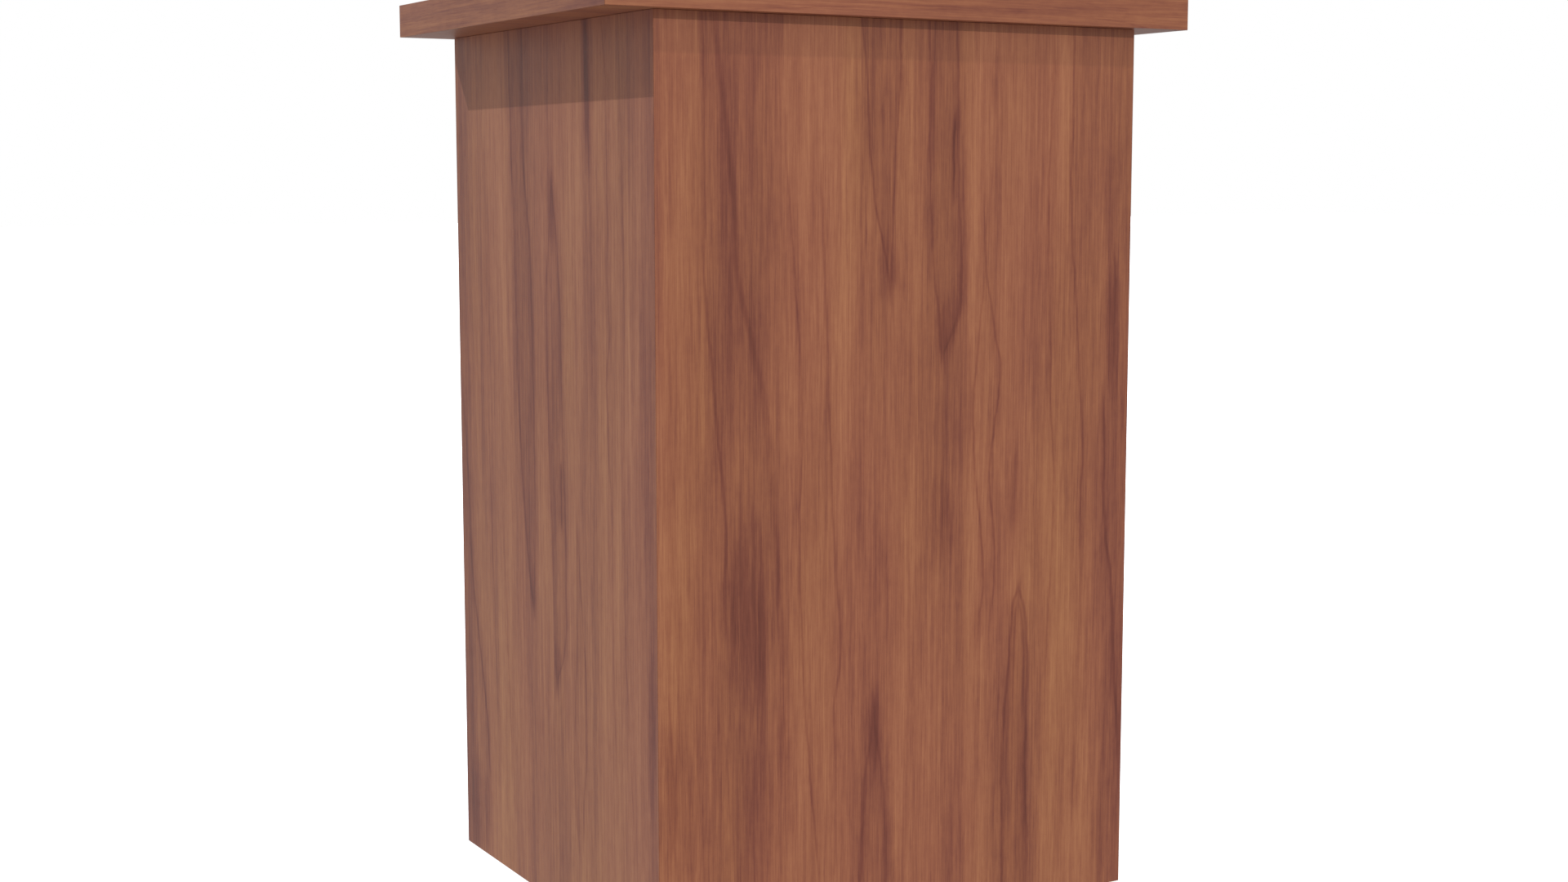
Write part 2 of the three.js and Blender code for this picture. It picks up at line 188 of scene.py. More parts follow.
class Graph:
    """Adds nodes to a node tree. Where a value is wanted, a number or another node's output will do."""

    def __init__(self, tree):
        self.tree = tree

    def put(self, socket, value):
        if isinstance(value, bpy.types.NodeSocket):
            self.tree.links.new(value, socket)
        else:
            socket.default_value = value

    def add(self, kind, inputs=None, **settings):
        node = self.tree.nodes.new(kind)
        for name, value in settings.items():
            setattr(node, name, value)
        for key, value in (inputs or {}).items():
            self.put(node.inputs[key], value)
        return node

    def group(self, tree, inputs):
        return self.add("ShaderNodeGroup", inputs, node_tree=tree).outputs

    def place(self):
        """A point's place on its piece, in metres."""
        return self.add("ShaderNodeTexCoord").outputs["Object"]

    def parts(self, vector):
        return self.add("ShaderNodeSeparateXYZ", {0: vector}).outputs

    def math(self, operation, *values):
        return self.add("ShaderNodeMath", dict(enumerate(values)), operation=operation).outputs[0]

    def plus(self, first, second):
        return self.math("ADD", first, second)

    def minus(self, first, second):
        return self.math("SUBTRACT", first, second)

    def times(self, first, second):
        return self.math("MULTIPLY", first, second)

    def weighed(self, value, weight, rest):
        """The value times its weight, added to the rest."""
        return self.math("MULTIPLY_ADD", value, weight, rest)

    def vector_math(self, operation, first, second):
        return self.add("ShaderNodeVectorMath", {0: first, 1: second}, operation=operation).outputs[0]

    def smooth(self, value, start, end, low=0.0, high=1.0):
        """Goes from low to high in an S as the value goes from start to end."""
        inputs = {"Value": value, "From Min": start, "From Max": end, "To Min": low, "To Max": high}
        return self.add("ShaderNodeMapRange", inputs, interpolation_type="SMOOTHSTEP").outputs[0]

    def noise(self, vector, waves, detail=1.0, roughness=0.5, shift=(0, 0, 0)):
        """Noise from 0 to 1 with that many waves a metre on each axis."""
        place = self.vector_math("ADD", self.vector_math("MULTIPLY", vector, waves), shift)
        inputs = {"Vector": place, "Scale": 1.0, "Detail": detail, "Roughness": roughness}
        return self.add("ShaderNodeTexNoise", inputs).outputs[0]

    def curve(self, value, points):
        """A smooth curve through points given as (value, result), each from 0 to 1."""
        node = self.add("ShaderNodeFloatCurve", {"Value": value})
        line = node.mapping.curves[0]
        line.points[0].location = points[0]
        line.points[1].location = points[-1]
        for point in points[1:-1]:
            line.points.new(*point)
        for point in line.points:
            point.handle_type = "AUTO_CLAMPED"
        node.mapping.update()
        return node.outputs[0]

    def ramp(self, value, stops):
        node = self.add("ShaderNodeValToRGB", {0: value})
        elements = node.color_ramp.elements
        elements[0].position, elements[0].color = stops[0]
        elements[1].position, elements[1].color = stops[-1]
        for position, color in stops[1:-1]:
            elements.new(position).color = color
        return node.outputs[0]

    def mix(self, factor, first, second, blend="MIX"):
        """A mix of two colours."""
        node = self.add("ShaderNodeMix", data_type="RGBA", blend_type=blend)
        for socket, value in zip(COLOR_MIX_INPUTS, (factor, first, second)):
            self.put(node.inputs[socket], value)
        return node.outputs[COLOR_MIX_OUTPUT]

    def mix_numbers(self, factor, first, second):
        return self.add("ShaderNodeMix", {0: factor, 2: first, 3: second}).outputs[0]

    def bump(self, height, distance, strength):
        inputs = {"Height": height, "Distance": distance, "Strength": strength}
        return self.add("ShaderNodeBump", inputs).outputs[0]


def new_group(name, inputs, outputs):
    """A new node group, the graph to fill it with, and what it is given."""
    tree = bpy.data.node_groups.new(name, "ShaderNodeTree")
    for way, sockets in (("INPUT", inputs), ("OUTPUT", outputs)):
        for socket_name, kind in sockets.items():
            tree.interface.new_socket(socket_name, in_out=way, socket_type=f"NodeSocket{kind}")
    graph = Graph(tree)
    return tree, graph, graph.add("NodeGroupInput").outputs


def linear(red, green, blue):
    """A display colour of 0 to 255 a channel, as a linear one with alpha."""
    def one(value):
        value /= 255
        return value / 12.92 if value <= 0.04045 else ((value + 0.055) / 1.055) ** 2.4
    return (one(red), one(green), one(blue), 1.0)


def emptied_graph(owner):
    """The graph of a material or of the world, emptied."""
    owner.use_nodes = True
    owner.node_tree.nodes.clear()
    return Graph(owner.node_tree)


def new_material(name):
    material = bpy.data.materials.new(name)
    return material, emptied_graph(material)


def finish_material(graph, color, roughness, normal=None, **fixed):
    """Ends a material in a principled shader. The fixed inputs are set on the shader's own sockets."""
    inputs = {"Base Color": color, "Roughness": roughness}
    if normal is not None:
        inputs["Normal"] = normal
    inputs.update({name.replace("_", " "): value for name, value in fixed.items()})
    shader = graph.add("ShaderNodeBsdfPrincipled", inputs)
    graph.add("ShaderNodeOutputMaterial", {"Surface": shader.outputs[0]})


def floor_material():
    material, graph = new_material("floor")
    cloud = graph.noise(graph.place(), (3, 3, 3), detail=3)
    color = graph.mix(cloud, (0.86, 0.86, 0.86, 1), (0.89, 0.89, 0.89, 1))
    finish_material(graph, color, 0.9, Emission_Color=WHITE, Emission_Strength=FLOOR_GLOW)
    return material


# ---------- Wood ----------
# Grain space is (across the grain, along it, through the board), in metres. These are its axes on a board.
FRONT_GRAIN = "XZY"
SIDE_GRAIN = "YZX"
LEVEL_GRAIN = "YXZ"
LEVEL_GRAIN_FROM_FRONT = "XYZ"
FRONT_EDGE_GRAIN = "ZXY"
SIDE_EDGE_GRAIN = "ZYX"

WANDER = 13 * MM  # how far the grain wanders sideways in all
HALO_WIDE = 3.4  # times the width of the growth line's core
HALO_DARK = 0.30
VENEER_THICK = 0.7 * MM
VENEER_EDGE = 0.1 * MM  # half the soft step from the veneer to the core
VENEER_TONE = -0.485
VENEER_STOPS = [
    (0.00, linear(105, 49, 37)), (0.25, linear(131, 69, 52)), (0.50, linear(161, 96, 66)),
    (0.75, linear(183, 119, 81)), (1.00, linear(201, 139, 96)),
]
# What makes up the veneer's tone, each with its weight. Waves a metre are across, along and through.
STREAKS = (0.72, {"waves": (24, 1.0, 11), "detail": 4, "roughness": 0.8})
FIBRES = (0.72, {"waves": (210, 4.5, 30), "detail": 3, "roughness": 0.95, "shift": (9, 4, 1)})
CLOUDS = (0.34, {"waves": (12, 3.2, 7), "detail": 3, "roughness": 0.6, "shift": (7, 1, 6)})
MOTTLE = (0.19, {"waves": (110, 55, 30), "detail": 3, "roughness": 0.7, "shift": (6, 6, 3)})
PALE_HAIRS = 0.075
DARK_HAIRS = 0.068
DARK_PORES = -0.08
DARK_FIGURE = -0.33
FIGURE_TINT = (0.94, 0.87, 0.84, 1)
YELLOW_TINT = (0.995, 1.025, 0.935, 1)
RED_TINT = (0.99, 0.96, 0.985, 1)
CORE_STOPS = [(0.1, linear(104, 78, 52)), (0.5, linear(160, 126, 88)), (0.9, linear(196, 164, 122))]


def grain_space(graph, axes):
    parts = graph.parts(graph.place())
    across, along, depth = (parts[axis] for axis in axes)
    return graph.add("ShaderNodeCombineXYZ", {0: across, 1: along, 2: depth}).outputs[0]


def flow_group():
    """Lets the grain wander sideways a little as it runs along. Wander is how far, in metres."""
    outputs = {"Grain": "Vector", "Wander": "Float"}
    tree, graph, given = new_group("flow", {"Grain": "Vector"}, outputs)
    grain = given["Grain"]
    slow = graph.noise(grain, (1.5, 7, 2), detail=4, roughness=0.62, shift=(6, 2, 8))
    wander = graph.weighed(slow, WANDER, -WANDER / 2)
    aside = graph.add("ShaderNodeCombineXYZ", {0: wander}).outputs[0]
    graph.add("NodeGroupOutput", {"Grain": graph.vector_math("ADD", grain, aside), "Wander": wander})
    return tree


def line_group():
    """How dark a growth line makes a point at a signed offset from it: a soft core in a wide halo."""
    inputs = {"Offset": "Float", "Wide": "Float", "Strength": "Float"}
    tree, graph, given = new_group("growth_line", inputs, {"Dark": "Float"})
    away = graph.math("ABSOLUTE", given["Offset"])
    core = graph.smooth(away, given["Wide"], 0.0)
    halo = graph.smooth(away, graph.times(given["Wide"], HALO_WIDE), 0.0, 0.0, HALO_DARK)
    dark = graph.times(graph.math("MAXIMUM", core, halo), given["Strength"])
    graph.add("NodeGroupOutput", {"Dark": dark})
    return tree


def common_figure_group():
    """The growth lines of any veneer. They are contours of a field that changes fast across the grain and
    slowly along it, so that they drift, run in pairs and close in arches."""
    tree, graph, given = new_group("common_figure", {"Grain": "Vector"}, {"Dark": "Float"})
    grain = given["Grain"]
    across = graph.parts(grain)[0]
    hills = graph.noise(grain, (4.5, 0.75, 8), detail=1.5, roughness=0.4)
    fibre = graph.noise(grain, (210, 14, 20), detail=2)
    rings = graph.weighed(hills, 6.5, graph.times(across, 4.5))
    rings = graph.weighed(fibre, 0.07, rings)
    away = graph.math("PINGPONG", rings, 0.5)
    core = graph.smooth(away, 0.055, 0.0)
    halo = graph.smooth(away, 0.20, 0.0, 0.0, 0.4)
    strength = graph.noise(grain, (8, 1.5, 9), shift=(3.1, 7.7, 1.3))
    strength = graph.smooth(strength, 0.36, 0.66, 0.10, 0.85)
    lines = graph.times(graph.math("MAXIMUM", core, halo), strength)
    cloud = graph.noise(grain, (13, 2.0, 9), detail=2, roughness=0.55, shift=(9.2, 1.4, 4.0))
    cloud = graph.smooth(cloud, 0.56, 0.78, 0.0, 0.8)
    graph.add("NodeGroupOutput", {"Dark": graph.plus(lines, cloud)})
    return tree


def veneer_group():
    """The veneer's colour, roughness and relief, from its tone and how dark its growth lines make it."""
    inputs = {"Grain": "Vector", "Dark": "Float", "Tone": "Float"}
    outputs = {"Color": "Color", "Roughness": "Float", "Height": "Float"}
    tree, graph, given = new_group("veneer", inputs, outputs)
    grain = given["Grain"]
    level = given["Tone"]
    streak = graph.noise(grain, **STREAKS[1])
    level = graph.weighed(streak, STREAKS[0], level)
    for weight, look in (FIBRES, CLOUDS, MOTTLE):
        level = graph.weighed(graph.noise(grain, **look), weight, level)
    hair = graph.noise(grain, (620, 7, 40), detail=1, shift=(5, 3, 1))
    level = graph.plus(level, graph.smooth(hair, 0.60, 0.80, 0.0, PALE_HAIRS))
    level = graph.minus(level, graph.smooth(hair, 0.40, 0.20, 0.0, DARK_HAIRS))
    level = graph.weighed(given["Dark"], DARK_FIGURE, level)
    pore = graph.smooth(graph.noise(grain, (1700, 40, 90), detail=1, shift=(4, 4, 2)), 0.58, 0.71)
    level = graph.weighed(pore, DARK_PORES, level)
    color = graph.ramp(level, VENEER_STOPS)
    color = graph.mix(graph.smooth(given["Dark"], 0.0, 1.0), color, FIGURE_TINT, "MULTIPLY")
    blush = graph.noise(grain, (8, 1.1, 5), detail=2.5, roughness=0.6, shift=(1, 5, 9))
    tint = graph.mix(graph.smooth(blush, 0.30, 0.70), YELLOW_TINT, RED_TINT)
    color = graph.mix(1.0, color, tint, "MULTIPLY")
    handled = graph.noise(grain, (5, 4, 5), detail=2, shift=(2, 9, 3))
    roughness = graph.weighed(streak, 0.12, 0.33)
    roughness = graph.weighed(pore, 0.08, roughness)
    roughness = graph.weighed(handled, 0.08, roughness)
    height = graph.weighed(pore, -0.6, graph.times(streak, 0.6))
    graph.add("NodeGroupOutput", {"Color": color, "Roughness": roughness, "Height": height})
    return tree


def chipboard_group():
    """The core between a board's two veneers, which shows in its holes and at its bare edges."""
    tree, graph, given = new_group("chipboard", {"Place": "Vector"}, {"Color": "Color"})
    place = given["Place"]
    chips = graph.add("ShaderNodeTexVoronoi", {"Vector": place, "Scale": 420.0}).outputs["Color"]
    dust = graph.noise(place, (1500, 1500, 1500), detail=2)
    level = graph.weighed(dust, 0.5, graph.times(chips, 0.55))
    graph.add("NodeGroupOutput", {"Color": graph.ramp(level, CORE_STOPS)})
    return tree


def core_mask(graph, grain, faces):
    """1 between the veneers on the two faces, and 0 in the veneers."""
    depth = graph.parts(grain)[2]
    low, high = faces
    inside = graph.math("MINIMUM", graph.minus(depth, low), graph.minus(high, depth))
    return graph.smooth(inside, VENEER_THICK - VENEER_EDGE, VENEER_THICK + VENEER_EDGE)


def veneer_material(name, axes, shift, faces=None, figure=None, tone=0.0):
    """A veneered board. Faces are the levels of its two faces, if its core shows. The figure is a function
    that gives how dark the board's own growth lines are and how pale its broad bands. Without it the board
    has the common ones."""
    material, graph = new_material(name)
    grain = grain_space(graph, axes)
    shifted = graph.vector_math("ADD", grain, shift)
    flow = graph.group(GROUPS["flow"], {"Grain": shifted})
    dark = graph.group(GROUPS["common_figure"], {"Grain": flow["Grain"]})["Dark"]
    level = tone + VENEER_TONE
    if figure:
        dark, pale = figure(graph, grain, flow, dark)
        level = graph.plus(pale, level)
    look = graph.group(GROUPS["veneer"], {"Grain": shifted, "Dark": dark, "Tone": level})
    color = look["Color"]
    if faces:
        core = graph.group(GROUPS["chipboard"], {"Place": grain})["Color"]
        color = graph.mix(core_mask(graph, grain, faces), color, core)
    normal = graph.bump(look["Height"], 0.06 * MM, 0.6)
    finish_material(graph, color, look["Roughness"], normal, IOR=1.5)
    return material


# ---------- The growth lines of the front and of the left side ----------
# Each place is (across, down) in millimetres, from the left or rear edge of the face and from its top.
# Fades are the depths where a line starts, is full, is still full and is gone. Halves are the half-widths
# of a loop round its path, as (half-width, down), or of a patch, across and down. Dark is how strongly
# each one shows, and inside is how much darker a loop's inside is.
Line = namedtuple("Line", "path fades wide dark")
Loop = namedtuple("Loop", "path halves fades wide dark inside")
Patch = namedtuple("Patch", "middle halves dark")

FRONT_FIGURE = [
    Line([(72, 0), (79, 60), (93, 150), (99, 230), (103, 290), (117, 350), (130, 400), (140, 460)],
         (-60, -10, 320, 430), 8.0, 0.54),
    Line([(118, 350), (134, 420), (146, 520), (156, 650), (160, 860)], (330, 430, 700, 900), 10.0, 0.46),
    Line([(58, 0), (62, 150), (60, 250), (70, 400), (83, 520), (87, 570), (85, 650), (88, 720)],
         (-60, 0, 560, 720), 4.6, 0.54),
    Line([(163, 100), (175, 300), (185, 450), (182, 560), (190, 820), (205, 1000)], (90, 200, 900, 1080),
         3.2, 0.5),
    Line([(208, 100), (215, 330), (225, 550), (235, 720), (226, 800), (229, 900), (223, 1040)],
         (100, 260, 800, 1080), 3.8, 0.5),
    Line([(388, 60), (388, 240)], (90, 130, 170, 215), 3.2, 1.15),
    Line([(432, 150), (433, 260), (447, 360), (456, 410), (443, 520), (452, 640), (440, 760)],
         (150, 260, 640, 760), 3.8, 0.62),
    Line([(437, 240), (425, 350), (418, 460), (430, 590), (436, 650), (426, 740)], (250, 340, 640, 760),
         3.6, 0.58),
    Line([(528, 0), (525, 250), (530, 430), (538, 560), (535, 640), (527, 780), (531, 900)],
         (-60, 60, 700, 950), 3.8, 0.5),
    Line([(557, 0), (559, 200), (570, 380), (580, 510), (580, 700), (575, 800), (575, 960)],
         (-60, 20, 500, 960), 4.0, 0.58),
    Line([(612, 430), (617, 600), (625, 660), (632, 760), (642, 880), (646, 960)], (400, 480, 880, 980),
         5.0, 0.6),
    Line([(270, 860), (264, 960), (262, 1060)], (840, 900, 1020, 1120), 3.6, 0.42),
    Line([(480, 470), (480, 620)], (470, 520, 570, 620), 7.0, 0.42),
    Line([(400, 120), (403, 220), (398, 330), (384, 380)], (90, 220, 330, 400), 3.4, 0.38),
    Loop([(287, 0), (290, 100), (293, 200), (301, 320)], [(26, 0), (20, 100), (13, 200), (1, 315)],
         (-60, -10, 290, 330), 3.6, 0.6, 0.16),
    Loop([(370, 0), (376, 200), (381, 330), (372, 390)], [(19, 0), (20, 250), (17, 310), (8, 360),
         (1, 388)], (-60, -10, 370, 400), 4.2, 0.5, 0.16),
    Loop([(487, 660), (486, 760), (482, 860), (484, 1000)], [(1, 664), (8, 690), (13, 740), (17, 850),
         (18, 1040)], (650, 675, 1040, 1200), 4.4, 0.68, 0.25),
    Loop([(487, 700), (487, 800)], [(1, 682), (4, 700), (8, 800)], (680, 700, 760, 850), 2.6, 0.38, 0.0),
    Loop([(280, 770), (280, 900), (279, 1040)], [(1, 765), (3, 820), (12, 870), (17, 960), (18, 1040)],
         (760, 800, 1040, 1200), 4.6, 0.44, 0.1),
    *(Patch(*row) for row in (
        ((116, 655), (36, 135), 0.9), ((140, 920), (50, 130), 0.42), ((36, 850), (34, 140), 0.46),
        ((102, 330), (34, 150), 0.26), ((299, 280), (16, 58), 0.75), ((370, 350), (20, 58), 0.42),
        ((624, 355), (15, 110), 0.95), ((280, 818), (16, 58), 0.52), ((375, 580), (24, 65), 0.5),
        ((376, 440), (34, 150), 0.3), ((426, 712), (12, 38), 0.5), ((575, 920), (14, 60), 0.4),
        ((612, 1000), (18, 60), 0.4), ((478, 545), (16, 60), 0.3), ((158, 820), (10, 60), 0.55),
        ((488, 900), (20, 200), 0.22), ((640, 740), (20, 160), 0.3), ((285, 640), (20, 70), 0.22),
        ((10, 850), (24, 130), 0.45), ((636, 520), (18, 150), 0.35), ((505, 580), (20, 90), 0.3),
    )),
]
# The tone of the broad bands, as (across, tone) from dark at 0 to pale at 1.
FRONT_BANDS = [
    (0, 0.48), (28, 0.64), (60, 0.47), (112, 0.34), (168, 0.55), (202, 0.68), (235, 0.62), (285, 0.42),
    (325, 0.52), (372, 0.38), (405, 0.46), (432, 0.6), (465, 0.42), (505, 0.46), (545, 0.7),
    (575, 0.58), (605, 0.49), (635, 0.28), (648, 0.26),
]

LEFT_FIGURE = [
    Line([(391, 0), (397, 60), (402, 120), (407, 200)], (-60, -20, 110, 215), 12.0, 0.56),
    Line([(405, 180), (405, 520)], (160, 240, 400, 520), 5.0, 0.26),
    Line([(317, 505), (317, 605)], (505, 535, 575, 605), 4.4, 1.15),
    Line([(437, 0), (449, 90), (449, 220), (447, 280), (453, 350), (445, 400), (449, 470), (456, 560),
         (456, 760), (465, 880)], (-60, 20, 800, 950), 4.2, 0.42),
    Line([(482, 0), (487, 200), (491, 400), (488, 600), (488, 700), (496, 790), (508, 960)],
         (-60, 40, 850, 1000), 4.2, 0.4),
    Line([(1, 420), (15, 500), (25, 600), (33, 700), (50, 765), (63, 820), (75, 880), (82, 1040)],
         (420, 560, 900, 1100), 5.6, 0.72),
    Line([(95, 480), (100, 600), (108, 780), (112, 860)], (440, 560, 800, 900), 4.0, 0.42),
    Line([(140, 600), (145, 720), (155, 930)], (560, 680, 850, 980), 4.0, 0.42),
    Loop([(195, 0), (198, 150), (210, 300), (218, 500), (228, 660), (231, 712)], [(20, 0), (18, 150),
         (24, 300), (21, 500), (15, 600), (8, 660), (1, 710)], (-60, -10, 690, 725), 5.6, 0.66, 0.2),
    Loop([(297, 165), (299, 340), (305, 520), (311, 690), (305, 750), (298, 790)], [(1, 168), (14, 270),
         (20, 340), (20, 520), (18, 700), (12, 750), (1, 788)], (160, 200, 775, 800), 4.4, 0.54, 0.2),
    Loop([(360, 550), (366, 680), (367, 800), (360, 920), (363, 1000)], [(1, 560), (5, 660), (15, 790),
         (17, 860), (11, 920), (5, 1000)], (555, 600, 930, 1020), 3.8, 0.55, 0.06),
    *(Patch(*row) for row in (
        ((42, 1000), (42, 90), 0.8), ((552, 790), (15, 125), 0.7), ((100, 330), (28, 160), 0.35),
        ((297, 200), (16, 70), 0.55), ((230, 690), (12, 50), 0.5), ((300, 765), (14, 45), 0.6),
        ((410, 330), (30, 220), 0.25), ((545, 420), (26, 260), 0.25), ((212, 330), (22, 150), 0.3),
        ((18, 860), (26, 200), 0.35), ((302, 470), (20, 160), 0.25), ((398, 60), (17, 125), 0.7),
    )),
]
LEFT_BANDS = [
    (0, 0.14), (25, 0.28), (50, 0.46), (75, 0.52), (98, 0.62), (130, 0.63), (165, 0.56), (210, 0.42),
    (250, 0.48), (300, 0.37), (340, 0.56), (375, 0.6), (405, 0.52), (435, 0.5), (470, 0.6), (510, 0.52),
    (552, 0.36), (568, 0.36),
]

FRAY = 1.6 * MM  # how far the fibres fray a growth line
DARKEST = 1.15
PALE_SWING = 0.44  # between the palest and the darkest band


class Face:
    """Draws growth lines on one face of the carcass. Across and down are places on the face, in metres."""

    def __init__(self, graph, flow, across, down, size):
        self.graph = graph
        self.wide, self.deep = size
        self.down = down
        self.down_share = graph.math("DIVIDE", down, self.deep)
        fray = graph.noise(flow["Grain"], (280, 26, 9), detail=2, shift=(8, 5, 2))
        across = graph.plus(across, flow["Wander"])
        self.across = graph.weighed(fray, FRAY, graph.plus(across, -FRAY / 2))
        self.fibre = graph.noise(flow["Grain"], (70, 2.2, 9), detail=4, roughness=0.85, shift=(3, 3, 3))
        self.beads = graph.noise(flow["Grain"], (30, 7, 9), detail=1, shift=(1, 8, 2))
        self.dark = 0.0

    def path(self, points):
        """The place across of a path at this depth down, in metres."""
        shares = [(down * MM / self.deep, across * MM / self.wide) for across, down in points]
        start, end = (0.0, shares[0][1]), (1.0, shares[-1][1])
        inside = [share for share in shares if 0 < share[0] < 1]
        place = self.graph.curve(self.down_share, [start, *inside, end])
        return self.graph.times(place, self.wide)

    def fade(self, fades):
        start, full, still_full, gone = (depth * MM for depth in fades)
        fade_in = self.graph.smooth(self.down, start, full)
        return self.graph.times(fade_in, self.graph.smooth(self.down, gone, still_full))

    def darken(self, value):
        self.dark = self.graph.plus(self.dark, value)

    def stroke(self, row, offset, fade):
        """A growth line at that offset, a little uneven along its length."""
        varied = self.graph.smooth(self.beads, 0.25, 0.70, 0.75 * row.dark, 1.15 * row.dark)
        strength = self.graph.times(fade, varied)
        inputs = {"Offset": offset, "Wide": row.wide * MM, "Strength": strength}
        self.darken(self.graph.group(GROUPS["growth_line"], inputs)["Dark"])

    def line(self, row):
        offset = self.graph.minus(self.across, self.path(row.path))
        self.stroke(row, offset, self.fade(row.fades))

    def loop(self, row):
        away = self.graph.math("ABSOLUTE", self.graph.minus(self.across, self.path(row.path)))
        offset = self.graph.minus(away, self.path(row.halves))
        fade = self.fade(row.fades)
        self.stroke(row, offset, fade)
        filled = self.graph.smooth(offset, 1.5 * MM, -4 * MM, 0.0, row.inside)
        self.darken(self.graph.times(fade, filled))

    def patch(self, row):
        """A soft dark patch, frayed along its fibres."""
        graph = self.graph
        (x, y), (half_x, half_y) = row.middle, row.halves
        x = graph.weighed(self.across, 1 / (half_x * MM), -x / half_x)
        y = graph.weighed(self.down, 1 / (half_y * MM), -y / half_y)
        square = graph.weighed(x, x, graph.times(y, y))
        away = graph.weighed(self.fibre, 2.8, square)
        self.darken(graph.smooth(away, 2.5, 0.9, 0.0, 0.9 * row.dark))

    def draw(self, figure):
        """How dark the whole figure makes a point."""
        ways = {Line: self.line, Loop: self.loop, Patch: self.patch}
        for row in figure:
            ways[type(row)](row)
        return self.graph.math("MINIMUM", self.dark, DARKEST)


def face_figure(rows, bands, size, origin, sign, levels):
    """The figure of a board that has lines of its own on its outer side and common ones on its inner side.
    Across is counted from the origin in the direction of the sign, and down from the top of the face.
    The levels are where the board is all outer side and where it is all inner side."""
    wide = size[0]
    outer, inner = levels

    def figure(graph, grain, flow, common):
        parts = graph.parts(grain)
        across = graph.weighed(parts[0], sign, -sign * origin[0])
        down = graph.minus(origin[1], parts[1])
        face = Face(graph, flow, across, down, size)
        own = face.draw(rows)
        shares = [(min(max(place * MM / wide, 0.0), 1.0), level) for place, level in bands]
        pale = graph.curve(graph.math("DIVIDE", face.across, wide), shares)
        pale = graph.weighed(pale, PALE_SWING, -PALE_SWING / 2)
        side = graph.smooth(parts[2], inner, outer)
        return graph.mix_numbers(side, common, own), graph.times(pale, side)
    return figure


def calm_figure(graph, grain, flow, common):
    """The figure of a straight-grained strip: common growth lines at half their strength."""
    return graph.times(common, 0.5), 0.0


# ---------- Other materials ----------
PINE = SimpleNamespace(light=linear(214, 178, 130), dark=linear(176, 130, 84))
ZINC = {
    "light": (0.62, 0.63, 0.66, 1), "dark": (0.42, 0.44, 0.48, 1), "waves": (900, 900, 900), "rough": 0.25,
}
STEEL = {
    "light": (0.66, 0.67, 0.69, 1), "dark": (0.48, 0.48, 0.50, 1), "waves": (300, 300, 2600), "rough": 0.17,
}
PLASTIC = SimpleNamespace(dark=(0.018, 0.018, 0.020, 1), worn=(0.05, 0.049, 0.048, 1))


def pine_material(name, axes, shift):
    """Solid planed softwood, unpolished."""
    material, graph = new_material(name)
    grain = graph.vector_math("ADD", grain_space(graph, axes), shift)
    hills = graph.noise(grain, (14, 1.2, 14), detail=1.5)
    rings = graph.math("PINGPONG", graph.times(hills, 26.0), 0.5)
    streak = graph.noise(grain, (500, 9, 500), detail=3, roughness=0.65)
    late = graph.smooth(rings, 0.28, 0.02)
    level = graph.weighed(late, 0.55, graph.times(streak, 0.5))
    color = graph.mix(level, PINE.light, PINE.dark)
    roughness = graph.weighed(streak, 0.22, 0.52)
    finish_material(graph, color, roughness, graph.bump(level, -0.08 * MM, 0.7), IOR=1.45)
    return material


def metal_material(name, light, dark, waves, rough):
    """Plated or drawn metal, with the waves of its surface marks a metre on each axis."""
    material, graph = new_material(name)
    place = graph.place()
    marks = graph.noise(place, waves, detail=3, roughness=0.6)
    tarnish = graph.noise(place, (160, 160, 160), detail=3, shift=(4, 1, 7))
    color = graph.mix(graph.smooth(tarnish, 0.35, 0.68), light, dark)
    color = graph.mix(graph.smooth(marks, 0.30, 0.75, 0.0, 0.35), color, dark)
    roughness = graph.weighed(marks, 0.22, rough)
    roughness = graph.weighed(tarnish, 0.12, roughness)
    finish_material(graph, color, roughness, graph.bump(marks, 0.02 * MM, 0.5), Metallic=1.0)
    return material


def plastic_material():
    material, graph = new_material("moulded_plastic")
    place = graph.place()
    grainy = graph.noise(place, (1400, 1400, 1400), detail=2)
    scuff = graph.noise(place, (60, 60, 220), detail=4, roughness=0.65)
    color = graph.mix(graph.smooth(scuff, 0.45, 0.75), PLASTIC.dark, PLASTIC.worn)
    roughness = graph.weighed(scuff, 0.3, 0.38)
    finish_material(graph, color, roughness, graph.bump(grainy, 0.05 * MM, 0.6), IOR=1.5)
    return material


# ---------- Meshes ----------
WELD = 0.004 * MM  # points nearer than this are one
SHARP = math.radians(40)  # edges that turn by more than this are eased
FLAT = math.radians(1)  # faces that meet at less than this are one
SMOOTH_DEGREES = 32  # the fittings' faces that meet at less than this are shaded as one


def object_from(bm, name, material=None, smooth_degrees=None):
    """Makes an object of a bmesh. Faces that meet at less than the smooth angle are shaded as one."""
    bmesh.ops.recalc_face_normals(bm, faces=bm.faces)
    if smooth_degrees is not None:
        for face in bm.faces:
            face.smooth = True
        for edge in bm.edges:
            edge.smooth = edge.is_manifold and edge.calc_face_angle() < math.radians(smooth_degrees)
    mesh = bpy.data.meshes.new(name)
    bm.to_mesh(mesh)
    bm.free()
    if material:
        mesh.materials.append(material)
    return new_object(name, mesh)


def weigh_normals(piece):
    """Shades every large face flat up to its eased edges, which alone are shaded round."""
    mesh = piece.data
    normals = [Vector() for _ in mesh.vertices]
    for face in mesh.polygons:
        for vertex in face.vertices:
            normals[vertex] += face.normal * face.area
    mesh.normals_split_custom_set_from_vertices([normal.normalized() for normal in normals])


def stand_for(piece, node):
    """The piece rides with its CAD node and is shown instead of it."""
    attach(piece, BODY_OF[node])
    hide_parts(node)


